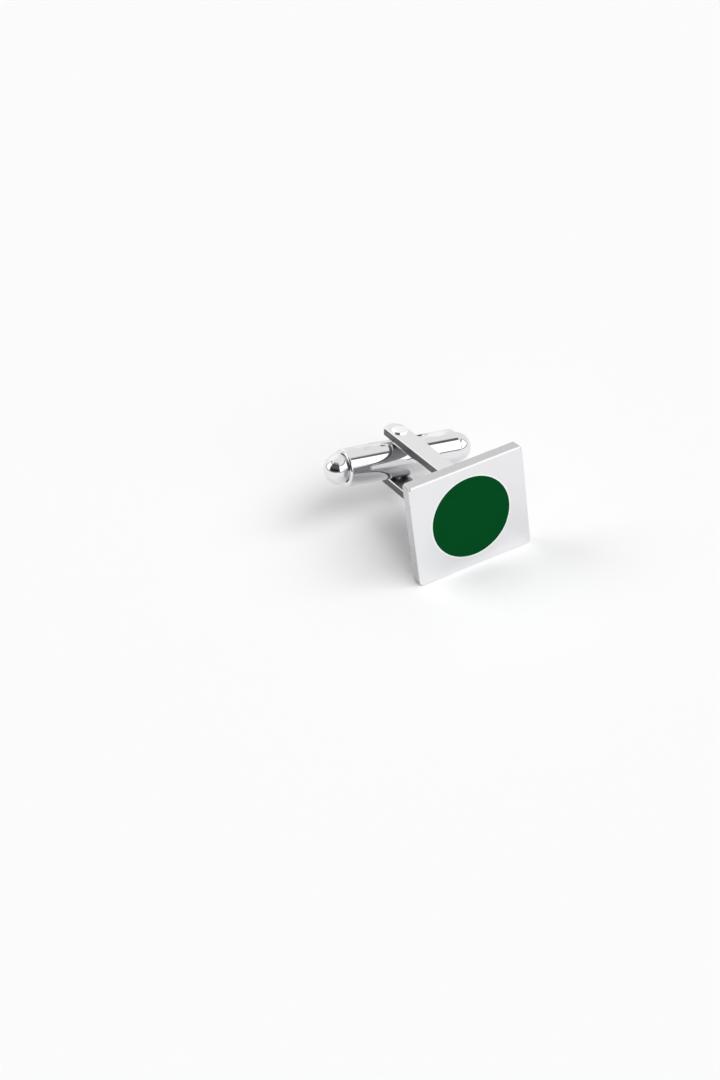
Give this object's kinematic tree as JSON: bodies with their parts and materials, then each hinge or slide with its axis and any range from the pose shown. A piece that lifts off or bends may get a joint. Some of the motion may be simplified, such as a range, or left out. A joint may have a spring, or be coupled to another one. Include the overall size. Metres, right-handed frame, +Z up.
{
  "type": "cufflink",
  "caption": "Rectangular cufflink with a flush round green enamel disc, a U-shaped post and a swivelling bar with ball ends.",
  "frame": {"origin": "on the lower edge of the face plate, at mid width and mid thickness, where the plate stands", "axes": "-Y out of the enamelled front, +Z up along the plate, +X to the right seen from the front; the post runs along +Y and is turned 11 degrees about it against the plate's sides"},
  "size_m": [0.0208, 0.021, 0.014],
  "materials": {
    "satin_plate": "rhodium-plated brass, satin front",
    "bright_plate": "rhodium-plated brass, mirror polished",
    "green_enamel": "hard enamel, ground flush, smooth and evenly coloured",
    "solder": "silver solder under the same plating",
    "spring_steel": "bright rolled strip"
  },
  "bodies": {
    "face_and_post": {"face_plate": "satin_plate", "enamel_disc": "green_enamel", "solder_bead": "solder", "yoke": "bright_plate", "pivot_pin": "bright_plate", "cam_block": "spring_steel"},
    "toggle_bar": {"toggle_barrel": "bright_plate", "left_ball_end": "bright_plate", "right_ball_end": "bright_plate", "leaf_spring": "spring_steel", "leaf_rivet": "bright_plate"}
  },
  "joints": [
    {"name": "bar_swivel", "type": "hinge", "parent": "face_and_post", "child": "toggle_bar", "pos_m": [0, 0.01745, 0.007], "axis": [0.1908, 0, 0.9816], "range_deg": [-90, 90], "deforming": ["leaf_spring"]}
  ]
}
